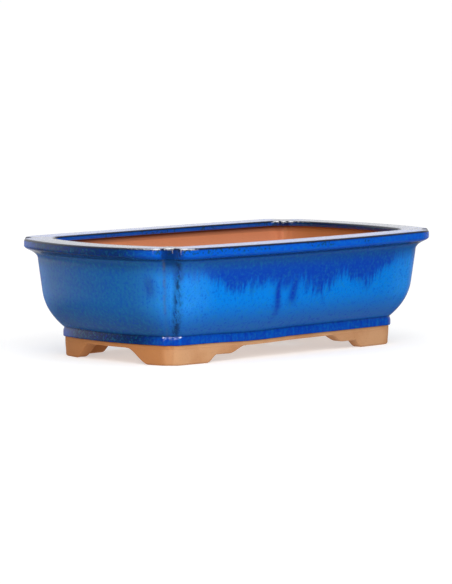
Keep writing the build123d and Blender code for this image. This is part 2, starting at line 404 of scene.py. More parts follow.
def sweep(name, loop, rings, closed, materials):
    """Mesh of a closed profile loop carried along the outline.

    loop holds (height, inset, edge, gather, coat): edge is how thin the glaze is drawn, and
    on the clay under the lip a painted shadow; gather how much navy is painted for pooled glaze
    and, under the rim, for shade; and coat the material of the strip up to the next point. rings holds,
    for each profile point, its points in plan, all with the same count.
    """
    count, around = len(rings[0]), len(loop)
    heights = np.array([np.broadcast_to(point[0], count) for point in loop])
    plan = np.stack(rings)
    points = np.dstack([plan, heights]).transpose(1, 0, 2).reshape(-1, 3)
    vertex = np.arange(count * around).reshape(count, around)
    ahead = np.roll(vertex, -1, axis=0) if closed else vertex[1:]
    behind = vertex if closed else vertex[:-1]
    quads = np.stack([behind, ahead, np.roll(ahead, -1, 1), np.roll(behind, -1, 1)], axis=-1)
    faces = quads.reshape(-1, 4).tolist()
    coats = np.tile([point[4] for point in loop], len(behind)).tolist()
    if not closed:
        faces += [vertex[0].tolist(), vertex[-1].tolist()]
        coats += [materials.index(clay_material()), materials.index(clay_material())]
    mesh = bpy.data.meshes.new(name)
    mesh.from_pydata(hand_made(points).tolist(), [], faces)
    for material in materials:
        mesh.materials.append(material)
    mesh.polygons.foreach_set("material_index", coats)
    set_marks(
        mesh,
        inside=np.tile([float(point[4] and name.startswith(("wall", "rim"))) for point in loop], count),
        edge=np.tile([point[2] for point in loop], count),
        gather=np.tile([point[3] for point in loop], count),
        drip=drips(points),
    )
    finish_mesh(mesh)
    return mesh


# Broken line down each lip of a notch, on the long sides widened and set past the lip as painted shade in the
# notch: half width, and how far past the lip it lies.
CREASES = {"end": (1.1 * MM, 0.0), "side": (3.4 * MM, 1.6 * MM)}
# Across the pot, where the painted shade of the short ends, greyer glaze and darker clay, fades out.
END_SHADE_WALL = (0.42 * REACH_Y, 0.86 * REACH_Y)
END_SHADE_BAND = (0.311 * REACH_Y, 0.637 * REACH_Y)
END_SHADE_APRON = (0.55 * REACH_Y, 0.68 * REACH_Y)
END_SHADE_FEET = (0.8, 1.02)  # shares of the way out to the feet's corners


def end_share(rings, low, high):
    """How far each point is into a short end: 1 inside low of the middle, 0 beyond high."""
    across = np.stack(rings)[:, :, 1].T.ravel()
    return 1 - smooth(low, high, np.abs(across))


def mark_corners(mesh, part, rings):
    """Store where the lips of the notches are, and how far each point is into a short end."""
    is_end = part in ("left", "right")
    run_width, past = CREASES["end" if is_end else "side"]
    crease, valley = [], []
    for ring in rings:
        steps = np.linalg.norm(np.diff(ring, axis=0), axis=1)
        along = np.concatenate([[0], np.cumsum(steps)])
        half = STEPS["hollow"] // 2
        lips = along[half] + past, along[-1 - half] - past
        crease.append(sum(np.exp(-(((along - lip) / run_width) ** 2)) for lip in lips))
        valley.append(np.minimum(along, along[-1] - along))
    set_marks(
        mesh,
        crease=np.array(crease).T.ravel(),
        valley=np.array(valley).T.ravel(),
        brown=np.full(len(mesh.vertices), float(is_end)),
        # share of the short ends, for their painted shade
        slate=end_share(rings, *END_SHADE_WALL) * is_end,
    )


PARTS = ("front", "rear", "right", "left")


WALL_LEVELS, COVE_LEVELS, INNER_LEVELS = 34, 12, 20
# Navy bands along the wall, as painted shade with pooled glaze just under the rim and as pooled glaze at its
# foot: height, half height, strength.
POOLS_AND_SHADE = ((RIM_BOTTOM - 0.6 * MM, 1.1 * MM, 1.0), (FLOOR_TOP, 0.9 * MM, 0.5))


class POT_OT_walls(bpy.types.Operator):
    """Four wall slabs, glazed outside and bare inside, mitred in the corner notches"""

    bl_idname = "pot.walls"
    bl_label = "Walls"

    def execute(self, context):
        profile = context.scene.pot_profile
        materials = [glaze_material("Walls in running blue glaze", "wall"), clay_material()]
        heights = np.linspace(FLOOR_TOP, RIM_BOTTOM - profile.cove_height, WALL_LEVELS).tolist()
        heights += np.linspace(heights[-1], RIM_BOTTOM, COVE_LEVELS)[1:].tolist()
        loop = []
        for height in heights:
            gather = sum(much * np.exp(-(((height - at) / run) ** 2)) for at, run, much in POOLS_AND_SHADE)
            loop.append((height, outer_face(height), 0, float(gather), 0))
        inside = np.linspace(RIM_BOTTOM, FLOOR_TOP, INNER_LEVELS)
        loop += [(height, plain_face(height) + profile.wall, 0, 0, 1) for height in inside]
        loop[len(heights) - 1] = (*loop[len(heights) - 1][:4], 1)
        for part in PARTS:
            rings = [run(part, point[1]) for point in loop]
            mesh = sweep(f"wall_{part}_glazed", loop, rings, False, materials)
            mark_corners(mesh, part, rings)
            new_piece(f"wall_{part}_glazed", mesh, "blue_glaze", f"wall_{part}")
        return {"FINISHED"}


FLARE_TURN, FLARE_TOP = 1.6 * MM, 3.2 * MM  # where the curve under the rim's face turns and ends
# Painted shade with pooled glaze: navy where the curve under the rim's face meets the wall.
FLARE_POOL_AND_SHADE = 0.75
CROWN = 0.25 * MM  # the rim's top is this much lower along its edges
LIP_ROUND = 0.7 * MM
EDGE_STEPS = 8
EDGE_WEAR = (0.15, 0.55, 0.95, 1.0, 1.0, 1.0, 0.8, 0.4, 0.1)  # how thin the glaze is round an edge


class POT_OT_rim(bpy.types.Operator):
    """Four rim strips with rounded edges and a lip that overhangs the inside"""

    bl_idname = "pot.rim"
    bl_label = "Rim"

    def execute(self, context):
        profile = context.scene.pot_profile
        materials = [glaze_material("Rim in pooled blue glaze", "rim"), clay_material()]
        start = np.array([RIM_BOTTOM, outer_face(RIM_BOTTOM)])
        turn = np.array([RIM_BOTTOM + FLARE_TURN, 0])
        face = np.array([RIM_BOTTOM + FLARE_TOP, 0])
        loop = []
        for share in np.linspace(0, 1, 9):
            point = start * (1 - share) ** 2 + turn * 2 * share * (1 - share) + face * share**2
            loop.append((*point, 0, FLARE_POOL_AND_SHADE * (1 - share) ** 2, 0))
        rounding = profile.rim_round
        inner = profile.neck_inset + profile.wall + profile.lip
        upper = TOP - rounding
        loop += [(height, 0, 0, 0, 0) for height in np.linspace(face[0], upper, 5)[1:-1]]
        outer_round = corner_round((upper, rounding), rounding, pi, pi / 2, EDGE_STEPS)
        loop += [(*point, edge, 0, 0) for point, edge in zip(outer_round, EDGE_WEAR)]
        for share in np.linspace(0, 1, 9)[1:-1]:
            inset = rounding + share * (inner - 2 * rounding)
            loop.append((TOP - CROWN * (2 * share - 1) ** 2, inset, 0, 0, 0))
        inner_round = corner_round((upper, inner - rounding), rounding, pi / 2, 0, EDGE_STEPS)
        loop += [(*point, edge, 0, 0) for point, edge in zip(inner_round, reversed(EDGE_WEAR))]
        lip_center = (LIP_BOTTOM + LIP_ROUND, inner - LIP_ROUND)
        lip_round = corner_round(lip_center, LIP_ROUND, 0, -pi / 2, EDGE_STEPS // 2)
        # The edge mark darkens the lip's underside: a dark line on the glaze, dark red on the clay, painted
        # shadow with flashing where the glaze ends.
        loop += [(*point, 0.3 * index, 0.2, int(index > 1)) for index, point in enumerate(lip_round)]
        wall_inner = profile.neck_inset + profile.wall
        loop += [(LIP_BOTTOM, wall_inner, 0.9, 0, 1), (RIM_BOTTOM, wall_inner, 0.2, 0, 1)]
        for part in PARTS:
            rings = [run(part, point[1]) for point in loop]
            mesh = sweep(f"rim_{part}_glazed", loop, rings, False, materials)
            mark_corners(mesh, part, rings)
            new_piece(f"rim_{part}_glazed", mesh, "blue_glaze", f"rim_{part}")
        return {"FINISHED"}


BAND_WEAR = (1.0, 1.0, 0.85, 0.4, 0.1, 0, 0)  # how thin the glaze is round the band's lower edge
BAND_SHOULDER = 3.2 * MM  # height of the soft shoulder that leads from the band to the wall
SHOULDER_CURVE, SHOULDER_STEPS = 2.4, 8
SHOULDER_POOL = 0.6
APRON_ROUND = 0.1 * MM
HOLE_ROUND = 0.6 * MM
BAND_BACK = 30 * MM  # inset where the rings of the floor's edge meet the plate


class POT_OT_floor(bpy.types.Operator):
    """Floor slab with its holes, its bare apron and the glazed base band"""

    bl_idname = "pot.floor"
    bl_label = "Floor"

    def execute(self, context):
        profile = context.scene.pot_profile
        clay = clay_material()
        band_bottom = FOOT_TOP + profile.apron_height
        edge, rounding = base_inset(), profile.band_round
        low = [(band_bottom + rounding - rounding * cos(turn), edge + rounding - rounding * sin(turn))
               for turn in np.linspace(0, pi / 2, 7)]
        foot = wall_foot_inset()
        shares = [step / SHOULDER_STEPS for step in range(SHOULDER_STEPS + 1)]
        high = [
            (FLOOR_TOP - BAND_SHOULDER * (1 - share), edge + (foot - edge) * share**SHOULDER_CURVE)
            for share in shares
        ]
        loop = [(*point, drawn, 0, 0) for point, drawn in zip(low, BAND_WEAR)]
        loop += [(height, edge, 0, 0, 0) for height in np.linspace(low[-1][0], high[0][0], 5)[1:-1]]
        loop += [(*point, 0, SHOULDER_POOL * share**6, 0) for point, share in zip(high, shares)]
        loop += [(FLOOR_TOP, BAND_BACK, 0, 0, 1), (band_bottom, BAND_BACK, 0, 0, 1)]
        materials = [glaze_material("Base band in blue glaze", "band"), clay]
        rings = [whole(point[1]) for point in loop]
        mesh = sweep("base_band", loop, rings, True, materials)
        nothing = np.zeros(len(mesh.vertices))
        # The band's short ends carry the painted end shade.
        set_marks(
            mesh, crease=nothing, brown=nothing, valley=nothing + 1, slate=end_share(rings, *END_SHADE_BAND)
        )
        new_piece("base_band", mesh, "blue_glaze", "floor_slab")

        apron = edge + profile.apron_inset
        loop = [(FOOT_TOP, apron + APRON_ROUND), (FOOT_TOP + APRON_ROUND, apron), (band_bottom, apron)]
        loop += [(band_bottom, BAND_BACK), (FOOT_TOP, BAND_BACK)]
        loop = [(*point, 0, 0, 0) for point in loop]
        rings = [whole(point[1]) for point in loop]
        ring = sweep("apron", loop, rings, True, [clay])
        # The apron's short ends carry the painted end shade.
        set_marks(ring, slate=end_share(rings, *END_SHADE_APRON))
        plate = self.plate(context.scene.pot_fittings)
        plate.materials.append(clay)
        shell = bmesh.new()
        shell.from_mesh(ring)
        shell.from_mesh(plate)
        shell.to_mesh(plate)
        shell.free()
        finish_mesh(plate)
        new_piece("floor_slab_bare", plate, "bare_stoneware", "floor_slab")
        return {"FINISHED"}

    def plate(self, fittings):
        """The flat of the floor, with the drain and wire holes right through it."""
        curve = bpy.data.curves.new("floor_plan", "CURVE")
        curve.dimensions, curve.fill_mode = "2D", "BOTH"
        curve.extrude = (FLOOR_TOP - FOOT_TOP) / 2 - HOLE_ROUND
        curve.bevel_depth, curve.bevel_resolution, curve.offset = HOLE_ROUND, 2, -HOLE_ROUND
        drains = [((side * fittings.drain_spacing / 2, 0), fittings.drain_radius) for side in (-1, 1)]
        ties = [
            ((x * fittings.tie_x / 2, y * fittings.tie_y / 2), fittings.tie_radius)
            for x in (-1, 1)
            for y in (-1, 1)
        ]
        outlines = [whole(BAND_BACK)[::3]]
        outlines += [arc(center, radius, 0, -2 * pi, 48) for center, radius in drains + ties]
        for outline in outlines:
            spline = curve.splines.new("POLY")
            spline.points.add(len(outline) - 1)
            for point, (x, y) in zip(spline.points, outline):
                point.co = (x, y, 0, 1)
            spline.use_cyclic_u = True
        holder = bpy.data.objects.new("floor_plan", curve)
        bpy.context.scene.collection.objects.link(holder)
        mesh = worked_mesh(holder)
        mesh.transform(Matrix.Translation((0, 0, (FLOOR_TOP + FOOT_TOP) / 2)))
        shell = bmesh.new()
        shell.from_mesh(mesh)
        bmesh.ops.remove_doubles(shell, verts=shell.verts, dist=0.01 * MM)
        shell.to_mesh(mesh)
        shell.free()
        return mesh


THIN_TIP = 0.3 * MM  # thickness of the clay at the tips of the feet


class POT_OT_feet(bpy.types.Operator):
    """Four angle feet with a stepped scallop on the long side and a plain one on the end"""

    bl_idname = "pot.feet"
    bl_label = "Feet"

    def execute(self, context):
        feet = context.scene.pot_feet
        plan = context.scene.pot_plan
        edge = base_inset() + feet.behind
        corner_x = REACH_X - plan.end_bow - edge
        corner_y = REACH_Y - plan.side_bow - edge
        rounding = feet.sole_round
        turns = np.linspace(0, pi / 2, 6)
        loop = [(rounding - rounding * cos(turn), edge + rounding - rounding * sin(turn)) for turn in turns]
        flare = feet.behind - context.scene.pot_profile.apron_inset
        for height in np.linspace(rounding, FOOT_TOP, 7)[1:]:
            loop.append((height, edge - flare * smooth(rounding, FOOT_TOP, height)))
        loop.append((FOOT_TOP, edge + feet.thickness))
        inner = edge + feet.thickness - rounding
        loop += [(rounding - rounding * cos(turn), inner + rounding * sin(turn)) for turn in turns[::-1]]
        spans = corner_x - feet.side_run, corner_y - feet.end_run
        rings = [quarter(inset, *spans) for height, inset in loop]
        for name, flip in (
            ("front_left", (-1, -1)),
            ("front_right", (1, -1)),
            ("rear_left", (-1, 1)),
            ("rear_right", (1, 1)),
        ):
            swept = []
            for (height, inset), ring in zip(loop, rings):
                along_x, along_y = corner_x - ring[:, 0], corner_y - ring[:, 1]
                scallop = np.maximum(
                    feet.shelf_height * smooth(feet.side_sole, feet.side_step, along_x)
                    + (FOOT_TOP - feet.shelf_height) * smooth(feet.side_shelf, feet.side_run, along_x),
                    FOOT_TOP * smooth(feet.end_sole, feet.end_run, along_y),
                )
                scallop = np.minimum(scallop, FOOT_TOP - THIN_TIP)
                swept.append((scallop + (FOOT_TOP - scallop) * height / FOOT_TOP, inset, 0, 0, 0))
            turned = [ring * flip for ring in rings]
            mesh = sweep(f"foot_{name}_bare", swept, turned, False, [clay_material()])
            # The end wings of the feet carry the painted end shade.
            set_marks(mesh, slate=end_share(turned, *(share * corner_y for share in END_SHADE_FEET)))
            new_piece(f"foot_{name}_bare", mesh, "bare_stoneware", f"foot_{name}")
        return {"FINISHED"}


# ---- fittings ----


def screen_tree():
    """Geometry Nodes tree of a square net of crossing strands."""
    tree = bpy.data.node_groups.new("Drain screen net", "GeometryNodeTree")
    face = tree.interface
    for name, kind in (
        ("Strand", "NodeSocketFloat"),
        ("Pitch", "NodeSocketFloat"),
        ("Length", "NodeSocketFloat"),
        ("Place", "NodeSocketVector"),
        ("Strands", "NodeSocketInt"),
        ("Material", "NodeSocketMaterial"),
    ):
        face.new_socket(name, in_out="INPUT", socket_type=kind)
    face.new_socket("Geometry", in_out="OUTPUT", socket_type="NodeSocketGeometry")
    given = add(tree, "NodeGroupInput").outputs
    half = add(tree, "ShaderNodeMath", {0: given["Length"], 1: 0.5}, operation="MULTIPLY").outputs[0]
    back = add(tree, "ShaderNodeMath", {0: half, 1: -1.0}, operation="MULTIPLY").outputs[0]
    ends = [add(tree, "ShaderNodeCombineXYZ", {"X": value}).outputs[0] for value in (back, half)]
    line = add(tree, "GeometryNodeCurvePrimitiveLine", {"Start": ends[0], "End": ends[1]}).outputs[0]
    radius = add(tree, "ShaderNodeMath", {0: given["Strand"], 1: 0.5}, operation="MULTIPLY").outputs[0]
    ring = add(tree, "GeometryNodeCurvePrimitiveCircle", {"Resolution": 8, "Radius": radius}).outputs[0]
    strand = add(
        tree, "GeometryNodeCurveToMesh", {"Curve": line, "Profile Curve": ring, "Fill Caps": True}
    ).outputs[0]
    gaps = add(tree, "ShaderNodeMath", {0: given["Strands"], 1: -1.0}, operation="ADD").outputs[0]
    span = add(tree, "ShaderNodeMath", {0: gaps, 1: given["Pitch"]}, operation="MULTIPLY").outputs[0]
    first = add(tree, "ShaderNodeMath", {0: span, 1: -0.5}, operation="MULTIPLY").outputs[0]
    start = add(tree, "ShaderNodeCombineXYZ", {"Y": first}).outputs[0]
    step = add(tree, "ShaderNodeCombineXYZ", {"Y": given["Pitch"]}).outputs[0]
    row = add(
        tree, "GeometryNodeMeshLine", {"Count": given["Strands"], "Start Location": start, "Offset": step}
    ).outputs[0]
    rows = add(tree, "GeometryNodeInstanceOnPoints", {"Points": row, "Instance": strand}).outputs[0]
    turned = add(
        tree, "GeometryNodeTransform", {"Geometry": rows, "Rotation": (0, 0, pi / 2)}
    ).outputs[0]
    net = add(tree, "GeometryNodeJoinGeometry", {0: rows})
    tree.links.new(turned, net.inputs[0])
    placed = add(tree, "GeometryNodeTransform", {"Geometry": net.outputs[0], "Translation": given["Place"]})
    real = add(tree, "GeometryNodeRealizeInstances", {0: placed.outputs[0]}).outputs[0]
    painted = add(tree, "GeometryNodeSetMaterial", {"Geometry": real, "Material": given["Material"]})
    add(tree, "NodeGroupOutput", {0: painted.outputs[0]})
    return tree


class POT_OT_screens(bpy.types.Operator):
    """A plastic net over each drain hole"""

    bl_idname = "pot.screens"
    bl_label = "Drain screens"

    def execute(self, context):
        fittings = context.scene.pot_fittings
        tree = screen_tree()
        for side in ("left", "right"):
            low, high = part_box(f"screen_{side}")
            values = {
                "Strand": fittings.strand,
                "Pitch": fittings.pitch,
                "Length": high.x - low.x,
                "Place": (low + high) / 2,
                "Strands": fittings.strands,
                "Material": net_material(),
            }
            holder = bpy.data.objects.new("net", bpy.data.meshes.new("net"))
            context.scene.collection.objects.link(holder)
            modifier = holder.modifiers.new("net", "NODES")
            modifier.node_group = tree
            for socket in tree.interface.items_tree:
                if socket.in_out == "INPUT":
                    modifier[socket.identifier] = values[socket.name]
            mesh = worked_mesh(holder)
            mesh.name = f"screen_{side}_net"
            mesh.shade_smooth()
            mesh.set_sharp_from_angle(angle=radians(50))
            new_piece(f"screen_{side}_net", mesh, "screen_plastic", f"screen_{side}")
        return {"FINISHED"}


WIRE_BEND = 1.2 * MM  # how far from its corner each bend of a clip starts
WIRE_SIDES = 12


class POT_OT_clips(bpy.types.Operator):
    """A bent wire clip through each drain hole, over its screen"""

    bl_idname = "pot.clips"
    bl_label = "Wire clips"

    def execute(self, context):
        fittings = context.scene.pot_fittings
        for side in ("left", "right"):
            low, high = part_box(f"clip_{side}")
            middle = (low + high) / 2
            bottom, top = low.z + fittings.wire_radius, high.z - fittings.wire_radius
            leg, tail = fittings.clip_leg, fittings.clip_tail
            stations = [(-tail, bottom), (-leg, bottom), (-leg, top)]
            stations += [(-x, z) for x, z in reversed(stations)]
            mesh = bent_wire(stations, fittings.wire_radius, WIRE_BEND)
            mesh.transform(Matrix.Translation((middle.x, 0, 0)))
            mesh.name = f"clip_{side}_wire"
            mesh.materials.append(wire_material())
            new_piece(f"clip_{side}_wire", mesh, "clip_wire", f"clip_{side}")
        return {"FINISHED"}


def bent_wire(stations, radius, bend):
    """Tube through (x, z) stations with a small round bend at each corner and closed ends."""
    path = [Vector((stations[0][0], 0, stations[0][1]))]
    for before, at, after in zip(stations, stations[1:], stations[2:]):
        here = Vector((at[0], 0, at[1]))
        inward = (Vector((before[0], 0, before[1])) - here).normalized()
        outward = (Vector((after[0], 0, after[1])) - here).normalized()
        for share in np.linspace(0, 1, 7):
            path.append(here + inward * bend * (1 - share) ** 2 + outward * bend * share**2)
    path.append(Vector((stations[-1][0], 0, stations[-1][1])))
    shell = bmesh.new()
    rings = []
    across = Vector((0, 1, 0))
    turns = [2 * pi * side / WIRE_SIDES for side in range(WIRE_SIDES)]
    for index, point in enumerate(path):
        ahead = path[min(index + 1, len(path) - 1)] - path[max(index - 1, 0)]
        normal = ahead.normalized().cross(across)
        ring = [point + radius * (cos(turn) * normal + sin(turn) * across) for turn in turns]
        rings.append([shell.verts.new(corner) for corner in ring])
    for first, second in zip(rings, rings[1:]):
        for side in range(WIRE_SIDES):
            beside = (side + 1) % WIRE_SIDES
            shell.faces.new((first[side], first[beside], second[beside], second[side]))
    shell.faces.new(rings[0])
    shell.faces.new(rings[-1])
    mesh = bpy.data.meshes.new("wire")
    shell.to_mesh(mesh)
    shell.free()
    finish_mesh(mesh, 50)
    return mesh


# ---- materials ----


def add(tree, kind, links=None, **settings):
    """Add a node with its settings, and its inputs by name or number, as values or sockets."""
    node = tree.nodes.new(kind)
    for name, value in settings.items():
        setattr(node, name, value)
    for key, value in (links or {}).items():
        if isinstance(value, bpy.types.NodeSocket):
            tree.links.new(value, node.inputs[key])
        else:
            node.inputs[key].default_value = value
    return node


def new_material(name):
    """An empty material, its node tree and its shader."""
    material = bpy.data.materials.new(name)
    material.use_nodes = True
    tree = material.node_tree
    tree.nodes.clear()
    shader = add(tree, "ShaderNodeBsdfPrincipled")
    add(tree, "ShaderNodeOutputMaterial", {"Surface": shader.outputs[0]})
    return material, tree, shader


def per(size):
    """Noise scale for features of that size in metres."""
    return 1 / size


# Ranges of the glaze: name, what it follows, from, to, value at from, value at to, and kind.
STRAIGHT, EASED = "LINEAR", "SMOOTHSTEP"
GLAZE_RANGES = {
    "all": (
        ("fine", "mottle", 0.5, 0.7, 0, 0.5, STRAIGHT),
        ("dark", "mottle", 0.48, 0.3, 0, 0.55, STRAIGHT),
        ("rough", "mottle", 0.3, 0.7, 0.06, 0.14, STRAIGHT),
        ("corner", "valley", 9 * MM, 2 * MM, 0, 1, EASED),
        ("torn", "broken", 0.4, 0.58, 0.25, 0.8, EASED),
        ("sparse", "brown", 0, 1, 1, 0.62, STRAIGHT),
        ("upper", "height", 34 * MM, 50 * MM, 0, 1, STRAIGHT),
    ),
    "wall": (
        ("near", "valley", 60 * MM, 25 * MM, 0, -12 * MM, EASED),
        ("share", "slate", 0, 1, 0.9, 0.1, STRAIGHT),
        # Paler glaze beside the notches, partly a painted highlight on the shoulders.
        ("beside", "valley", 44 * MM, 16 * MM, 0, 0.5, EASED),
        # Grey below the rim: thin glaze, darkened as painted shade under the overhang.
        ("high", "height", 62 * MM, 73 * MM, 0, 0.75, EASED),
        ("low", "height", 46 * MM, 24 * MM, 0, 0.95, EASED),
        ("under", "height", RIM_BOTTOM - 8 * MM, RIM_BOTTOM - 1 * MM, 0, 0.7, EASED),
    ),
    "rim": (
        ("spots", "mottle", 0.52, 0.6, 0, 0.95, EASED),
        ("patches", "clouds", 0.44, 0.52, 0, 1, STRAIGHT),
        ("face", "height", RIM_BOTTOM + 2 * MM, RIM_BOTTOM + 4 * MM, 0, 1, EASED),
    ),
    "band": (("lighter", "streaks", 0.35, 0.75, 0, 0.35, STRAIGHT),),
}
DEEP_EDGE = (74 * MM, 86 * MM)  # range of the ragged height over which the deep glaze sets in
RAGGED = {"streaks": 24 * MM, "clouds": 32 * MM}  # how much each raises that height
# Painted shade: how strongly the darker end colours cover the others on the short ends.
END_SHADE_COVER = {"wall": 0.7, "rim": 0.92, "band": 0.92}  # how far the ends' coat covers the other
RIPPLES = {"wall": (5 * MM, 0.35), "rim": (2.4 * MM, 0.45), "band": (5 * MM, 0.35)}  # size, strength
RIPPLE_HEIGHT = 0.4 * MM
GLAZE_IOR = 1.5


def glaze_material(name, zone):
    """Stoneware with a glossy running blue glaze, dipped and fired.

    Glass-smooth, so it gleams; it runs down in streaks, is deep where thick, grey where thin, and
    breaks dark or brown over edges. Painted shade darkens the short ends, the glaze just under the rim
    and the notches' lips on the long sides; a painted highlight makes the shoulders beside the notches paler.
    """
    if name in bpy.data.materials:
        return bpy.data.materials[name]
    tint = bpy.context.scene.pot_colours
    material, tree, shader = new_material(name)
    place = add(tree, "ShaderNodeTexCoord").outputs["Object"]
    source = {"height": add(tree, "ShaderNodeSeparateXYZ", {0: place}).outputs["Z"]}
    for key in ("edge", "gather", "drip", "crease", "slate", "brown", "valley"):
        source[key] = add(tree, "ShaderNodeAttribute", attribute_name=key).outputs["Fac"]

    # Vertical streaks a few millimetres wide, broad clouds, a fine mottle, breaks and ripples.
    drawn = add(tree, "ShaderNodeMapping", {"Vector": place, "Scale": (1, 1, 0.17)}).outputs[0]
    eased = add(tree, "ShaderNodeMapping", {"Vector": place, "Scale": (1, 1, 0.5)}).outputs[0]
    grain, swell = RIPPLES[zone]
    for key, vector, size, detail, roughness in (
        ("streaks", drawn, 2.6 * MM, 3.0, 0.6),
        ("clouds", eased, 26 * MM, 2.0, 0.5),
        ("mottle", place, 2.2 * MM, 3.0, 0.7),
        ("broken", eased, 3.5 * MM, 4.0, 0.7),
        ("ripple", place, grain, 2.0, 0.5),
    ):
        links = {"Vector": vector, "Scale": per(size), "Detail": detail, "Roughness": roughness}
        source[key] = add(tree, "ShaderNodeTexNoise", links).outputs["Fac"]
    part = {}
    for key, follows, start, end, low, high, kind in GLAZE_RANGES["all"] + GLAZE_RANGES[zone]:
        links = {"Value": source[follows], "From Min": start, "From Max": end, "To Min": low, "To Max": high}
        part[key] = add(tree, "ShaderNodeMapRange", links, interpolation_type=kind).outputs[0]

    times, most = {"operation": "MULTIPLY"}, {"operation": "MAXIMUM"}
    if zone == "wall":
        # The deep glaze runs down from the rim to a ragged edge, higher beside the notches.
        ragged = source["height"]
        for key, rise in RAGGED.items():
            links = {0: source[key], 1: rise, 2: ragged}
            ragged = add(tree, "ShaderNodeMath", links, operation="MULTIPLY_ADD").outputs[0]
        ragged = add(tree, "ShaderNodeMath", {0: ragged, 1: part["near"]}, operation="ADD").outputs[0]
        links = {"Value": ragged, "From Min": DEEP_EDGE[0], "From Max": DEEP_EDGE[1]}
        deep = add(tree, "ShaderNodeMapRange", links, interpolation_type=EASED).outputs[0]
        deep = add(tree, "ShaderNodeMath", {0: deep, 1: part["share"]}, **times).outputs[0]
        deep = add(tree, "ShaderNodeMath", {0: deep, 1: source["drip"]}, **most).outputs[0]
        beside = add(tree, "ShaderNodeMath", {0: part["beside"], 1: source["streaks"]}, **times).outputs[0]
        # Paler beside the notches, partly a painted highlight on the shoulders; grey under the rim, thin
        # glaze darkened as painted shade; and dull low on the belly.
        colour, coat, pooling, breaks = tint.bright, tint.slate, part["under"], source["brown"]
        layers = [(deep, tint.deep), (beside, tint.pale), (part["high"], tint.grey), (part["low"], tint.dull)]
    elif zone == "rim":
        # Darker blobs along the middle of the rim's face.
        spots = add(tree, "ShaderNodeMath", {0: part["spots"], 1: part["patches"]}, **times).outputs[0]
        spots = add(tree, "ShaderNodeMath", {0: spots, 1: part["face"]}, **times).outputs[0]
        colour, coat, pooling, breaks = tint.rim, tint.rim_end_shade, 0.8, 0.0
        layers = [(spots, tint.navy)]
    else:
        colour, coat, pooling, breaks = tint.band, tint.rim_end_shade, 0.0, 0.0
        layers = [(part["lighter"], tint.bright)]

    # The short ends are painted greyer and darker, as painted shade for the end away from the light.
    # Everywhere there is a fine mottle.
    cover = add(tree, "ShaderNodeMath", {0: source["slate"], 1: END_SHADE_COVER[zone]}, **times).outputs[0]
    layers += [(cover, coat), (part["fine"], tint.teal), (part["dark"], tint.deep)]

    # Navy where glaze pools, at the wall's foot and in the notches, and just under the rim, where it is also
    # painted shade.
    pooled = add(tree, "ShaderNodeMath", {0: part["corner"], 1: pooling}, **times).outputs[0]
    gathered = add(tree, "ShaderNodeMath", {0: source["gather"], 1: 0.85}, **times).outputs[0]
    gathered = add(tree, "ShaderNodeMath", {0: gathered, 1: pooled}, **most).outputs[0]

    # Broken down the notches' lips: dark beside the long sides, widened there as painted shade in the notch;
    # brown and mostly high by the ends.
    torn = add(tree, "ShaderNodeMath", {0: part["torn"], 1: part["sparse"]}, **times).outputs[0]
    below = add(tree, "ShaderNodeMath", {0: 1.0, 1: part["upper"]}, operation="SUBTRACT").outputs[0]
    below = add(tree, "ShaderNodeMath", {0: below, 1: source["brown"]}, **times).outputs[0]
    kept = add(tree, "ShaderNodeMath", {0: below, 1: -0.75, 2: 1.0}, operation="MULTIPLY_ADD").outputs[0]
    torn = add(tree, "ShaderNodeMath", {0: torn, 1: kept}, **times).outputs[0]
    torn = add(tree, "ShaderNodeMath", {0: torn, 1: source["crease"]}, **times).outputs[0]
    links = {0: breaks, 6: tint.line, 7: tint.brown}
    broken = add(tree, "ShaderNodeMix", links, data_type="RGBA").outputs[2]
    layers += [(gathered, tint.navy), (torn, broken), (source["edge"], tint.line)]
    for factor, over in layers:
        colour = add(tree, "ShaderNodeMix", {0: factor, 6: colour, 7: over}, data_type="RGBA").outputs[2]

    links = {"Height": source["ripple"], "Strength": swell, "Distance": RIPPLE_HEIGHT}
    bump = add(tree, "ShaderNodeBump", links).outputs[0]
    for key, value in {"Base Color": colour, "Roughness": part["rough"], "Normal": bump}.items():
        tree.links.new(value, shader.inputs[key])
    shader.inputs["IOR"].default_value = GLAZE_IOR
    return material


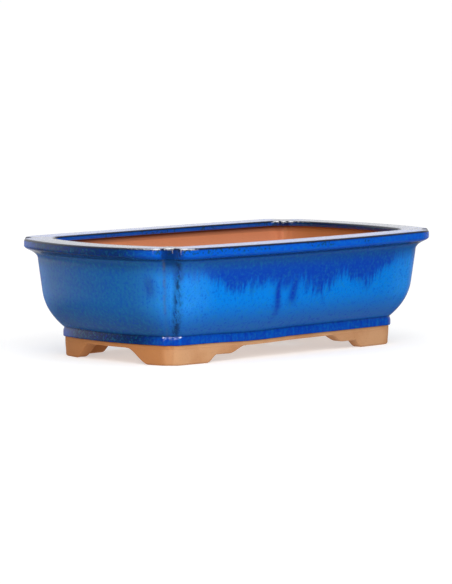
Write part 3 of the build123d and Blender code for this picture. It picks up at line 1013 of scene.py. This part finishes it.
def clay_material():
    """Bare stoneware, sponged smooth before firing: dry, matt, sandy and toasted in patches; darkened by
    painted shade on the short ends and under the rim's lip.
    """
    name = "Bare stoneware clay"
    if name in bpy.data.materials:
        return bpy.data.materials[name]
    tint = bpy.context.scene.pot_colours
    material, tree, shader = new_material(name)
    place = add(tree, "ShaderNodeTexCoord").outputs["Object"]
    links = {"Vector": place, "Scale": per(22 * MM), "Detail": 3.0}
    patches = add(tree, "ShaderNodeTexNoise", links).outputs["Fac"]
    links = {"Vector": place, "Scale": per(0.9 * MM), "Detail": 3.0, "Roughness": 0.75}
    grain = add(tree, "ShaderNodeTexNoise", links).outputs["Fac"]
    links = {"Value": patches, "From Min": 0.42, "From Max": 0.68, "To Max": 0.55}
    toasted = add(tree, "ShaderNodeMapRange", links).outputs[0]
    links = {"Value": grain, "From Min": 0.58, "From Max": 0.74, "To Max": 0.5}
    specks = add(tree, "ShaderNodeMapRange", links).outputs[0]
    mark = {
        key: add(tree, "ShaderNodeAttribute", attribute_name=key).outputs["Fac"]
        for key in ("inside", "edge", "slate")
    }
    # Painted shade: the clay on the short ends is painted darker.
    end = add(tree, "ShaderNodeMath", {0: mark["slate"], 1: 0.8}, operation="MULTIPLY").outputs[0]
    colour = tint.clay
    for factor, over in (
        (toasted, tint.clay_dark),
        (mark["inside"], tint.clay_inside),
        # Partly painted shadow: the dark red line under the rim's lip.
        (mark["edge"], tint.clay_flash_and_shade),
        (end, tint.clay_end_shade),
        (specks, tint.clay_speck),
    ):
        colour = add(tree, "ShaderNodeMix", {0: factor, 6: colour, 7: over}, data_type="RGBA").outputs[2]
    bump = add(tree, "ShaderNodeBump", {"Height": grain, "Strength": 0.5, "Distance": 0.15 * MM}).outputs[0]
    tree.links.new(colour, shader.inputs["Base Color"])
    tree.links.new(bump, shader.inputs["Normal"])
    shader.inputs["Roughness"].default_value = 0.85
    return material


def flecked_material(name, fleck, detail, codes, rough, metallic):
    """A plain material with fine marks between two colours and two roughnesses."""
    if name in bpy.data.materials:
        return bpy.data.materials[name]
    material, tree, shader = new_material(name)
    place = add(tree, "ShaderNodeTexCoord").outputs["Object"]
    links = {"Vector": place, "Scale": per(fleck), "Detail": detail}
    marks = add(tree, "ShaderNodeTexNoise", links).outputs["Fac"]
    links = {0: marks, 6: linear(codes[0]), 7: linear(codes[1])}
    colour = add(tree, "ShaderNodeMix", links, data_type="RGBA").outputs[2]
    links = {"Value": marks, "To Min": rough[0], "To Max": rough[1]}
    roughness = add(tree, "ShaderNodeMapRange", links).outputs[0]
    tree.links.new(colour, shader.inputs["Base Color"])
    tree.links.new(roughness, shader.inputs["Roughness"])
    shader.inputs["Metallic"].default_value = metallic
    return material


def net_material():
    """Black extruded polyethylene net: slightly waxy, scuffed where soil has rubbed it."""
    name, codes = "Black polyethylene net", ("#101112", "#2B2C2D")
    return flecked_material(name, 2 * MM, 4.0, codes, (0.5, 0.7), 0.0)


def wire_material():
    """Brown anodised aluminium wire, drawn and bent by hand: a dull metal sheen with fine draw marks."""
    name, codes = "Brown anodised aluminium wire", ("#4A3526", "#6B5040")
    return flecked_material(name, 0.8 * MM, 3.0, codes, (0.3, 0.5), 1.0)


# ---- stage ----

VIEW_AZIMUTH = radians(-45.3)
VIEW_ELEVATION = radians(4.23)
VIEW_DISTANCE = 3.104
FRAME_SPAN = 0.418488  # what the frame's height takes in at the pot's middle
SENSOR = 36.0  # over the frame's height, in mm
FAR_CLIP = 100.0
AIM_ACROSS = -0.0022
AIM_HEIGHT = 0.0413

FLOOR_RADIUS = 14.0
FLOOR_SIDES = 96
FLOOR_GLOW = 0.5
KEY_POWER, KEY_SPREAD, KEY_FROM = 0.75, radians(40), (-0.1, -0.85, 0.55)
LAMP_TARGET = (0, 0, 0.05)
# Lamps: name, place, width, height, power, colour. Those named gleam show in reflections only.
LAMPS = (
    ("panel", (-0.52, -0.52, 0.4), 0.5, 0.4, 3.4, "#FFFFFF"),
    ("strip", (-1.46, -0.33, 0.30), 0.14, 0.7, 2.5, "#FFE9D0"),
    ("top_gleam", (0.0, -0.05, 1.3), 1.2, 1.2, 90.0, "#FFFFFF"),
    ("left_gleam", (-1.50, -0.12, 1.15), 0.5, 0.5, 14.0, "#FFF0E0"),
    ("right_gleam", (0.52, -1.45, 1.15), 0.5, 0.5, 14.0, "#FFFFFF"),
)


class POT_OT_stage(bpy.types.Operator):
    """Pale floor, soft light from the front and the camera"""

    bl_idname = "pot.stage"
    bl_label = "Stage"

    def execute(self, context):
        scene = context.scene
        scene.view_settings.view_transform = "Standard"
        self.floor(scene)
        self.surroundings(scene)
        self.lights(scene)
        self.camera(scene)
        return {"FINISHED"}

    def floor(self, scene):
        """A wide pale floor that gives off some light of its own, so that shadows stay faint."""
        turns = np.linspace(0, 2 * pi, FLOOR_SIDES, endpoint=False)
        ring = [(FLOOR_RADIUS * cos(turn), FLOOR_RADIUS * sin(turn), 0) for turn in turns]
        mesh = bpy.data.meshes.new("floor")
        mesh.from_pydata(ring, [], [list(range(FLOOR_SIDES))])
        material, _, shader = new_material("Pale studio floor")
        shader.inputs["Base Color"].default_value = linear("#C8C8C8")
        shader.inputs["Emission Color"].default_value = (1, 1, 1, 1)
        shader.inputs["Emission Strength"].default_value = FLOOR_GLOW
        shader.inputs["Roughness"].default_value = 1.0
        shader.inputs["Specular IOR Level"].default_value = 0.0
        mesh.materials.append(material)
        floor = bpy.data.objects.new("floor", mesh)
        scene.collection.objects.link(floor)
        floor.visible_glossy = False

    def surroundings(self, scene):
        """White backdrop; even soft light; a studio that is dark in front and pale behind."""
        world = bpy.data.worlds.new("Studio")
        scene.world = world
        world.use_nodes = True
        tree = world.node_tree
        tree.nodes.clear()
        direction = add(tree, "ShaderNodeTexCoord").outputs["Generated"]
        ray = add(tree, "ShaderNodeLightPath").outputs
        source = {"up": add(tree, "ShaderNodeSeparateXYZ", {0: direction}).outputs["Z"]}
        for key, toward in (("back", (0.5, 0.86, 0.0)), ("right", (0.8, -0.6, 0.0))):
            links = {0: direction, 1: toward}
            dot = add(tree, "ShaderNodeVectorMath", links, operation="DOT_PRODUCT")
            source[key] = dot.outputs["Value"]
        light = {}
        for key, follows, start, end, low, high, kind in (
            ("behind", "back", -0.15, 0.85, 0.012, 1.05, EASED),
            ("above", "up", -0.45, -0.05, 0.15, 1, STRAIGHT),
            ("soft", "right", -0.7, 0.8, 0.06, 0.16, STRAIGHT),
            ("dome", "up", 0.35, 0.9, 0, 1.1, EASED),
        ):
            links = {
                "Value": source[follows], "From Min": start, "From Max": end, "To Min": low, "To Max": high
            }
            light[key] = add(tree, "ShaderNodeMapRange", links, interpolation_type=kind).outputs[0]
        mirrored = {0: light["behind"], 1: light["above"]}
        mirrored = add(tree, "ShaderNodeMath", mirrored, operation="MULTIPLY").outputs[0]
        spread = add(tree, "ShaderNodeMath", {0: light["soft"], 1: light["dome"]}, operation="ADD").outputs[0]
        value = add(tree, "ShaderNodeMix", {0: ray["Is Glossy Ray"], 2: spread, 3: mirrored}).outputs[0]
        value = add(tree, "ShaderNodeMix", {0: ray["Is Camera Ray"], 2: value, 3: 1.0}).outputs[0]
        background = add(tree, "ShaderNodeBackground", {"Color": (1, 1, 1, 1), "Strength": value})
        add(tree, "ShaderNodeOutputWorld", {"Surface": background.outputs[0]})

    def lights(self, scene):
        """A soft key, a panel and a strip at the near corner, and lamps that only gleam."""
        key = bpy.data.lights.new("key", "SUN")
        key.energy, key.angle = KEY_POWER, KEY_SPREAD
        holder = bpy.data.objects.new("key", key)
        holder.rotation_euler = Vector(KEY_FROM).to_track_quat("Z", "Y").to_euler()
        scene.collection.objects.link(holder)
        for name, place, width, height, power, colour in LAMPS:
            light = bpy.data.lights.new(name, "AREA")
            light.shape = "RECTANGLE"
            light.size, light.size_y = width, height
            light.energy = power
            light.color = linear(colour)[:3]
            holder = bpy.data.objects.new(name, light)
            holder.location = place
            holder.visible_diffuse = not name.endswith("gleam")
            aim = Vector(LAMP_TARGET) - Vector(place)
            holder.rotation_euler = aim.to_track_quat("-Z", "Y").to_euler()
            scene.collection.objects.link(holder)

    def camera(self, scene):
        """A long lens, low in front of the near left corner."""
        lens = bpy.data.cameras.new("camera")
        lens.sensor_width = SENSOR
        lens.lens = VIEW_DISTANCE / FRAME_SPAN * SENSOR
        lens.clip_end = FAR_CLIP
        camera = bpy.data.objects.new("camera", lens)
        scene.collection.objects.link(camera)
        right = Vector((cos(VIEW_AZIMUTH), sin(VIEW_AZIMUTH), 0))
        back = Vector((
            sin(VIEW_AZIMUTH) * cos(VIEW_ELEVATION),
            -cos(VIEW_AZIMUTH) * cos(VIEW_ELEVATION),
            sin(VIEW_ELEVATION),
        ))
        camera.location = Vector((0, 0, TOP)) + back * VIEW_DISTANCE
        aim = Vector((0, 0, AIM_HEIGHT)) + right * AIM_ACROSS
        camera.rotation_euler = (aim - camera.location).to_track_quat("-Z", "Y").to_euler()
        scene.camera = camera


class POT_PT_panel(bpy.types.Panel):
    """Lists the sizes, the colours and the steps that build the pot"""

    bl_label = "Bonsai Pot"
    bl_idname = "POT_PT_panel"
    bl_space_type = "VIEW_3D"
    bl_region_type = "UI"
    bl_category = "Bonsai Pot"

    def draw(self, context):
        for name in GROUPS:
            box = self.layout.box()
            group = getattr(context.scene, name)
            for key in group.bl_rna.properties.keys():
                if key not in ("rna_type", "name"):
                    box.prop(group, key)
        for operator in OPERATORS:
            self.layout.operator(operator.bl_idname)


GROUPS = {
    "pot_plan": PotPlan,
    "pot_profile": PotProfile,
    "pot_feet": PotFeet,
    "pot_fittings": PotFittings,
    "pot_colours": PotColours,
}
OPERATORS = (POT_OT_walls, POT_OT_rim, POT_OT_floor, POT_OT_feet, POT_OT_screens, POT_OT_clips, POT_OT_stage)


def register():
    """Register the property groups, the operators and the panel."""
    for name, group in GROUPS.items():
        bpy.utils.register_class(group)
        setattr(bpy.types.Scene, name, PointerProperty(type=group))
    for operator in (*OPERATORS, POT_PT_panel):
        bpy.utils.register_class(operator)


def unregister():
    """Undo register."""
    for operator in (POT_PT_panel, *reversed(OPERATORS)):
        bpy.utils.unregister_class(operator)
    for name, group in reversed(GROUPS.items()):
        delattr(bpy.types.Scene, name)
        bpy.utils.unregister_class(group)


def main():
    """Build the pot and its stage."""
    register()
    bpy.ops.pot.walls()
    bpy.ops.pot.rim()
    bpy.ops.pot.floor()
    bpy.ops.pot.feet()
    bpy.ops.pot.screens()
    bpy.ops.pot.clips()
    bpy.ops.pot.stage()


if __name__ == "__main__":
    main()
